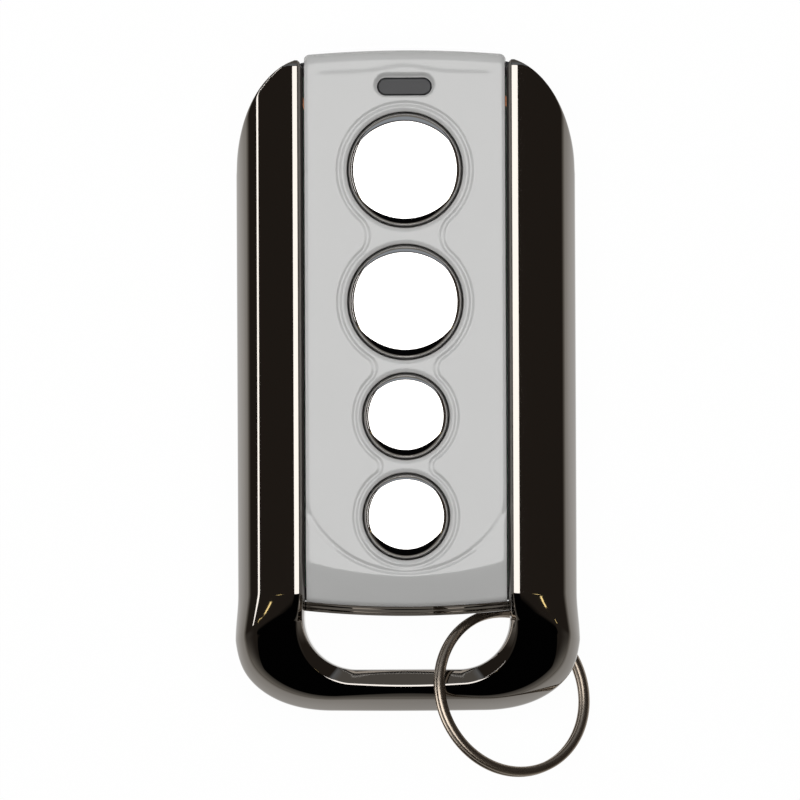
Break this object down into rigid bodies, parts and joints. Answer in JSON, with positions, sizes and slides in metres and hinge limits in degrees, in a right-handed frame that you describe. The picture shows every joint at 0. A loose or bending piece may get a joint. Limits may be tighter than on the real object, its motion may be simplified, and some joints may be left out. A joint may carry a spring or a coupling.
{
  "type": "remote transmitter",
  "caption": "Slim key-ring radio remote: white face panel with round chrome push buttons and an indicator window, held in a U-shaped chrome frame with a split ring through the slot at its foot.",
  "frame": {"origin": "on the flat back face, in the middle of the body's length and width", "axes": "+Z out of the button face, +Y along the body to the window end, +X to the right of the face with +Y up"},
  "size_m": [0.0411, 0.0841, 0.013],
  "materials": {
    "chrome": "polished bright chrome plating",
    "button_chrome": "polished bright chrome plating",
    "white_plastic": "glossy moulded ABS",
    "dark_plastic": "fine spark-eroded texture",
    "smoked_window": "smooth smoked polycarbonate",
    "board": "solder mask over glass epoxy",
    "diode_resin": "clear cast resin",
    "chip_resin": "moulded epoxy",
    "can_metal": "tin-plated steel can",
    "ceramic": "fired ceramic",
    "copper": "bare copper track",
    "cell_steel": "pressed stainless steel",
    "contact_metal": "tin-plated spring bronze",
    "screw_steel": "zinc-plated steel",
    "ring_steel": "nickel-plated spring steel",
    "plunger_plastic": "moulded nylon",
    "switch_plastic": "moulded nylon"
  },
  "bodies": {
    "housing": {"chrome_frame": "chrome", "front_cover": "white_plastic", "rear_cover": "dark_plastic", "led_window": "smoked_window", "circuit_board": "board", "status_led": "diode_resin", "encoder_chip": "chip_resin", "saw_resonator": "can_metal", "rf_transistor": "chip_resin", "chip_components": "ceramic", "antenna_trace": "copper", "coin_battery": "cell_steel", "battery_clip": "contact_metal", "battery_contact": "contact_metal", "cover_screws": "screw_steel", "switch_1": "switch_plastic", "switch_2": "switch_plastic", "switch_3": "switch_plastic", "switch_4": "switch_plastic"},
    "ring": {"key_ring": "ring_steel"},
    "push_1": {"button_1": "button_chrome", "plunger_1": "plunger_plastic"},
    "push_2": {"button_2": "button_chrome", "plunger_2": "plunger_plastic"},
    "push_3": {"button_3": "button_chrome", "plunger_3": "plunger_plastic"},
    "push_4": {"button_4": "button_chrome", "plunger_4": "plunger_plastic"}
  },
  "joints": [
    {"name": "ring_swing", "type": "hinge", "parent": "housing", "child": "ring", "pos_m": [0.012, -0.0357, 0.006], "axis": [1, 0, 0], "range_deg": [-115, 2]},
    {"name": "press_1", "type": "slide", "parent": "housing", "child": "push_1", "axis": [0, 0, -1], "range_m": [0, 0.0003], "stiffness_N_per_m": 600, "springref_m": -0.0005},
    {"name": "press_2", "type": "slide", "parent": "housing", "child": "push_2", "axis": [0, 0, -1], "range_m": [0, 0.0003], "stiffness_N_per_m": 600, "springref_m": -0.0005},
    {"name": "press_3", "type": "slide", "parent": "housing", "child": "push_3", "axis": [0, 0, -1], "range_m": [0, 0.0003], "stiffness_N_per_m": 600, "springref_m": -0.0005},
    {"name": "press_4", "type": "slide", "parent": "housing", "child": "push_4", "axis": [0, 0, -1], "range_m": [0, 0.0003], "stiffness_N_per_m": 600, "springref_m": -0.0005}
  ]
}
